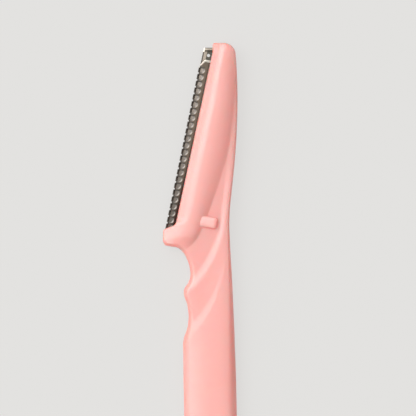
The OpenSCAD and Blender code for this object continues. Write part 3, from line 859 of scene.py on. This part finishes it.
# %% Steel: the bands along the edge
steel, tree, out = new_finish("ground_steel")
place, inwards, upwards = edge_frame(tree)
over_w = add_node(tree, "Math", {0: inwards, 1: blade_w}, operation="DIVIDE")
bands = add_node(tree, "ValToRGB", {"Fac": over_w})
hone_end, bevel_end = edge_in + hone_w, edge_in + bevel_w
stops = bands.color_ramp
for from_fold, code in ((hone_end, "#4A443F"), (hone_end + 0.06, "#8F857A"),
        (bevel_end, "#8A8075"), (bevel_end + 0.05, "#5A574F")):
    stops.elements.new(from_fold / blade_w).color = from_hex(code)
stops.elements[0].color = from_hex("#4A443F")
stops.elements[len(stops.elements) - 1].color = from_hex("#66625A")
print("from the fold: honed to", round(hone_end, 2), "mm, ground to", round(bevel_end, 2), "mm")

# %% Steel: what lies under the guard
# Each span is a way, two places along it, and the values that it has at the two.
spans = {"darker_low": (upwards, 0, 34, 0.75, 0.2), "covered": (upwards, 34.6, 34.3, 0, 1),
    "inside": (inwards, 0.75, 0.85, 0, 1), "corner": (inwards, 0.5, 0.42, 0, 1)}
for name, (way, start, stop, first, last) in spans.items():
    spans[name] = add_node(tree, "MapRange", {
        "Value": way, "From Min": start, "From Max": stop, "To Min": first, "To Max": last})
# Covered steel is made paler from 0.8 mm inwards, and darker, most towards the lower end.
low_darkening = add_node(tree, "Math", {0: spans["darker_low"], 1: spans["covered"]}, operation="MULTIPLY")
paler_inside = add_node(tree, "Math", {0: spans["inside"], 1: spans["covered"]}, operation="MULTIPLY")
print("steel covered up to", round(guard_len + end_over, 2), "mm")

# %% Steel: the end and its corner
# The ramp paints the end's chamfer pale as a highlight, between a thin grey rim and a dark band.
# Its alpha says how much of the end's bands covers the rest.
slanted = add_node(tree, "Math",
    {0: inwards, 1: math.tan(lean), 2: edge_len}, operation="MULTIPLY_ADD")
to_end = add_node(tree, "Math", {0: slanted, 1: upwards}, operation="SUBTRACT")
painted_end_band = add_node(tree, "ValToRGB", {"Fac": to_end})
stops = painted_end_band.color_ramp
for from_end, code in ((0.1, "#5A544C"), (0.15, "#A2988B"), (0.45, "#A2988B"), (0.5, "#4A453E"),
        (0.72, "#4A453E")):
    stops.elements.new(from_end).color = from_hex(code)
stops.elements[0].color = from_hex("#5A544C")
stops.elements[len(stops.elements) - 1].color = (*from_hex("#4A453E")[:3], 0)
# A painted glint makes the corner by the edge brightest, within 0.8 mm of the end.
high = add_node(tree, "MapRange", {"Value": to_end, "From Min": 0.9, "From Max": 0.8})
corner_glint = add_node(tree, "Math", {0: spans["corner"], 1: high}, operation="MULTIPLY")
print("stops in the end's ramp:", len(stops.elements))

# %% Steel: laid over each other
# Each layer is a cover, from 0 to 1, and the colour that it brings.
layers = [(paler_inside, from_hex("#99908A")), (low_darkening, from_hex("#2C2825")),
    (painted_end_band.outputs["Alpha"], painted_end_band), (corner_glint, from_hex("#CFC8BC"))]
shade = bands
for cover, colour in layers:
    shade = add_node(tree, "Mix", {"Factor": cover, "A": shade, "B": colour}, data_type="RGBA")
metal = add_node(tree, "BsdfPrincipled", {"Base Color": shade, "Roughness": 0.38, "Metallic": 1.0})
tree.links.new(metal.outputs["BSDF"], out.inputs["Surface"])
print(steel.name, "has", len(tree.nodes), "nodes and", len(layers), "layers")

# %% [markdown]
# ## The foil
# The guard is rolled foil, taken for nickel, that a press punched and folded. It is a little
# mottled. The dishes round the windows are paler than the flat band. The fold is darkened as
# painted shade where it turns away from the light, and a line of painted shade crosses the upper
# side of each dish, where its wall faces away from the light. Towards the lower end the metal is
# made darker, for a cause that can't be told at this size. A brown strip of painted shadow runs
# along the lip, and the bead at the upper end is painted pale as a highlight. All of it is laid on
# as colour. The light alone could draw the pressed forms, but a tenth of a millimetre hardly shows
# in the render.

# %% Foil: where each colour begins and ends
foil, tree, out = new_finish("punched_nickel_foil")
place, inwards, upwards = edge_frame(tree)
# The fold's span paints shade on the fold, where it turns away from the light.
spans = {"folded": (inwards, 0.44, 0.34, 0, 1), "below": (upwards, 33.2, 33, 0, 1),
    "edge_off": (inwards, 1.35, 1.1, 0, 0.6), "darkens_low": (upwards, 0, 15, 0.8, 0),
    "wider": (upwards, 14, 2, 0, 0.2), "low_end": (upwards, 0, 20, 1, 0.6)}
for name, (way, start, stop, first, last) in spans.items():
    spans[name] = add_node(tree, "MapRange", {
        "Value": way, "From Min": start, "From Max": stop, "To Min": first, "To Max": last})
print("spans over the foil:", len(spans))

# %% Foil: the dishes and the painted shade line over each
# Every pitch the same tooth comes round: its place is what is left after whole numbers of them.
line_up, line_half = 0.42, 0.13
phase = add_node(tree, "Math", {0: upwards, 1: tooth_first + tooth_pitch / 2}, operation="SUBTRACT")
turned = add_node(tree, "Math", {0: phase, 1: tooth_pitch}, operation="FLOORED_MODULO")
from_row = add_node(tree, "Math", {0: turned, 1: tooth_pitch / 2}, operation="SUBTRACT")
from_col = add_node(tree, "Math", {0: inwards, 1: window_in}, operation="SUBTRACT")
flat_place = add_node(tree, "CombineXYZ", {"X": from_col, "Y": from_row})
ring = add_node(tree, "VectorMath", {0: flat_place}, operation="LENGTH")
drawn = add_node(tree, "MapRange", {"Value": ring, "From Min": 0.7, "From Max": 0.58})
dish = add_node(tree, "Math", {0: drawn, 1: spans["below"]}, operation="MULTIPLY")
# A line of painted shade crosses the upper side of each dish, where its wall faces away from the
# light.
slant = add_node(tree, "Math", {0: from_col, 1: -0.25, 2: from_row}, operation="MULTIPLY_ADD")
above = add_node(tree, "Math", {0: slant, 1: line_up, 2: line_half}, operation="COMPARE")
line = add_node(tree, "Math", {0: above, 1: spans["edge_off"]}, operation="MULTIPLY")
print("the last dish ends at", round(tooth_first + (teeth - 1) * tooth_pitch + dish_r, 2), "mm")

# %% Foil: the painted shadow along the lip, and the bead's painted highlight
# A brown strip of painted shadow runs along the lip, wider and darker towards the lower end.
lip_slope = (show_w - show_low) / (tip_y - edge_y)
to_lip = add_node(tree, "Math", {0: upwards, 1: -lip_slope, 2: inwards}, operation="MULTIPLY_ADD")
to_lip = add_node(tree, "Math", {0: to_lip, 1: spans["wider"]}, operation="ADD")
lip_shadow_span = add_node(tree, "MapRange", {"Value": to_lip,
    "From Min": show_low - 0.42, "From Max": show_low - 0.12})
lip_shadow = add_node(tree, "Math", {0: lip_shadow_span, 1: spans["low_end"]}, operation="MULTIPLY")
# The bead at the upper end is painted pale as a highlight.
corner = add_node(tree, "Math", {0: corner_w, 1: inwards}, operation="SUBTRACT")
corner = add_node(tree, "Math", {0: corner, 1: 0.0}, operation="MAXIMUM")
end_at = add_node(tree, "Math",
    {0: corner, 1: -1.45, 2: guard_len + end_over}, operation="MULTIPLY_ADD")
to_end = add_node(tree, "Math", {0: end_at, 1: upwards}, operation="SUBTRACT")
bead = add_node(tree, "MapRange", {"Value": to_end, "From Min": 0.5, "From Max": 0.38})
print("the lip leaves the fold by 1 in", round(1 / lip_slope))

# %% Foil: laid over each other
# The mottle's patches are a third of a millimetre wide, and the place is in millimetres here.
mottle_w = 1 / 3
speck = add_node(tree, "TexNoise", {"Vector": place, "Scale": 1 / mottle_w, "Detail": 3})
band = add_node(tree, "Mix", {"Factor": speck, "A": from_hex("#6B5F53"), "B": from_hex("#7B6F62")},
    data_type="RGBA")
# Layers: darker towards the lower end, the paler dishes, painted shade on the fold and over each
# dish, a painted shadow along the lip and a painted highlight on the bead.
layers = [(spans["darkens_low"], "#34302C"), (dish, "#867F79"), (spans["folded"], "#4A443E"),
    (line, "#38332F"), (lip_shadow, "#402622"), (bead, "#D9D2C6")]
shade = band
for cover, code in layers:
    shade = add_node(tree, "Mix",
        {"Factor": cover, "A": shade, "B": from_hex(code)}, data_type="RGBA")
metal = add_node(tree, "BsdfPrincipled", {"Base Color": shade, "Roughness": 0.3, "Metallic": 1.0})
tree.links.new(metal.outputs["BSDF"], out.inputs["Surface"])
print(foil.name, "has", len(tree.nodes), "nodes and", len(layers), "layers")

# %% The finishes go on
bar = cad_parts["clamp_bar"]
for piece, finish in ((moulding, plastic), (blade, steel), (guard, foil), (bar, plastic)):
    piece.data.materials.clear()
    piece.data.materials.append(finish)
    print(piece.name, "is", finish.name)

# %% [markdown]
# ## The floor
# The razor lies on plain pale ground: a large sheet of matt paper, 0.02 mm under its back, because
# two faces in one plane would show stripes. To the camera, and to rays from metal or glass, most of
# the sheet is a glow a little under white, and the rest is paper, which keeps the shadow. A
# stronger lamp could whiten it too, but it would light the razor as well.

# %% Floor
floor_mesh = bpy.data.meshes.new("floor")
floor_reach = 3.0
under_back = -0.02 * MM
glow_share = 0.85
corners = [(x * floor_reach, y * floor_reach) for x, y in ((-1, -1), (1, -1), (1, 1), (-1, 1))]
floor_mesh.from_pydata([(*corner, under_back) for corner in corners], [], [(0, 1, 2, 3)])
floor = bpy.data.objects.new("floor", floor_mesh)
bpy.context.collection.objects.link(floor)
paper, tree, out = new_finish("matt_paper")
card = add_node(tree, "BsdfPrincipled",
    {"Base Color": from_hex("#DCDBD9"), "Roughness": 0.9, "Specular IOR Level": 0.1})
glow = add_node(tree, "Emission", {"Color": from_hex("#E2E1DF"), "Strength": 1.0})
rays = add_node(tree, "LightPath")
seen = add_node(tree, "Math",
    {0: rays.outputs["Is Camera Ray"], 1: rays.outputs["Is Glossy Ray"]}, operation="MAXIMUM")
seen = add_node(tree, "Math",
    {0: seen, 1: rays.outputs["Is Transmission Ray"]}, operation="MAXIMUM")
share = add_node(tree, "Math", {0: seen, 1: glow_share}, operation="MULTIPLY")
both = add_node(tree, "MixShader", {"Fac": share, 1: card, 2: glow})
tree.links.new(both.outputs["Shader"], out.inputs["Surface"])
floor_mesh.materials.append(paper)
print("floor:", 2 * floor_reach, "m across")

# %% [markdown]
# ## The light
# The light is soft and comes from the upper left, as from a window in a pale room. The room is the
# world, whose brightness rises towards that side: the direction times a lean, plus a level. The
# window is a sun lamp with a wide disc. An area lamp could stand in for it, but its light falls off
# with distance.

# %% The room
sky_level = 0.62
sky_lean = (-0.45, 0.25, 0.3)
world = bpy.data.worlds.new("soft_room")
world.use_nodes = True
bpy.context.scene.world = world
tree = world.node_tree
ways = add_node(tree, "TexCoord")
way = add_node(tree, "VectorMath",
    {0: ways.outputs["Generated"], 1: sky_lean}, operation="DOT_PRODUCT")
sky = add_node(tree, "Math", {0: way, 1: sky_level}, operation="ADD")
tree.nodes["Background"].inputs["Color"].default_value = (1, 1, 1, 1)
tree.links.new(sky.outputs["Value"], tree.nodes["Background"].inputs["Strength"])
print("strength overhead:", round(sky_level + sky_lean[2], 2))

# %% The lamp
lamp = bpy.data.lights.new("soft_window", "SUN")
lamp.energy = 1.2
lamp.angle = math.radians(48)
daylight = bpy.data.objects.new("soft_window", lamp)
bpy.context.collection.objects.link(daylight)
towards = Vector((-0.48, 0.36, 0.8))
daylight.rotation_mode = "QUATERNION"
daylight.rotation_quaternion = towards.to_track_quat("Z", "Y")
print("lamp:", round(math.degrees(towards.angle(Vector((0, 0, 1))))), "degrees from overhead")

# %% [markdown]
# ## The camera
# The view is straight down on the razor's upper half, from afar and with a long lens, so that its
# sides don't lean. The lens is worked out from the width that the picture takes in. A camera
# without perspective would do nearly as well, but no real picture is taken with one.

# %% Camera
view_w = 83.2 * MM
view_middle = (-0.6 * MM, 42.0 * MM)
view_h = 2 * MM  # the height over the floor at which the view has that width
camera_h = 0.9
sensor_w = 36
lens = bpy.data.cameras.new("camera")
lens.sensor_width = sensor_w
lens.lens = sensor_w * (camera_h - view_h) / view_w
camera = bpy.data.objects.new("camera", lens)
bpy.context.collection.objects.link(camera)
camera.location = (*view_middle, camera_h)
bpy.context.scene.camera = camera
bpy.context.scene.view_settings.view_transform = "Standard"
print("lens:", round(lens.lens), "mm on a sensor of", sensor_w, "mm")
